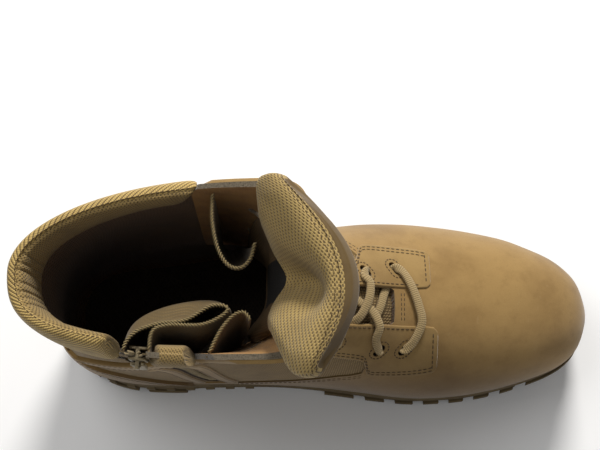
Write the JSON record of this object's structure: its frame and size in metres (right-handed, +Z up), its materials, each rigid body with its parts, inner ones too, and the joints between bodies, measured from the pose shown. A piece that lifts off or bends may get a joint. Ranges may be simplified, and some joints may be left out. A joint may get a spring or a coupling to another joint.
{
  "type": "combat boot",
  "caption": "Tan side-zip combat boot for the left foot, laced, with a padded collar and tongue and a lugged sole; the zip's pull swings.",
  "frame": {"origin": "bottom centre of the boot's box, on the ground", "axes": "+X from heel to toe, +Y towards the outer side of the foot, +Z up"},
  "size_m": [0.3102, 0.1128, 0.2525],
  "materials": {
    "leather": "matt nubuck",
    "nylon": "woven nylon",
    "mesh": "padded spacer mesh",
    "rubber": "matt",
    "foam": "matt",
    "lace": "braided",
    "metal": "worn"
  },
  "bodies": {
    "boot": {"outsole": "rubber", "midsole": "foam", "insole": "mesh", "upper": "nylon", "eyestay_lateral": "leather", "eyestay_medial": "leather", "heel_counter": "leather", "backstay": "leather", "collar_pad_rear": "nylon", "collar_pad_front": "nylon", "tongue": "mesh", "tongue_gusset_lateral": "nylon", "tongue_gusset_medial": "nylon", "zip_gusset": "nylon", "zip_tape_rear": "nylon", "zip_tape_front": "nylon", "zip_chain": "nylon", "zip_slider": "metal", "zip_tab": "leather", "lace_bar_1": "lace", "lace_cross_2": "lace", "lace_cross_3": "lace", "lace_cross_4": "lace", "lace_cross_5": "lace", "lace_cross_6": "lace", "lace_cross_7": "lace"},
    "zip_pull": {"zip_pull": "metal"}
  },
  "joints": [
    {"name": "zip_pull_swing", "type": "hinge", "parent": "boot", "child": "zip_pull", "pos_m": [-0.09133, -0.04601, 0.20752], "axis": [-0.9952, 0.0979, 0], "range_deg": [0, 150]}
  ]
}
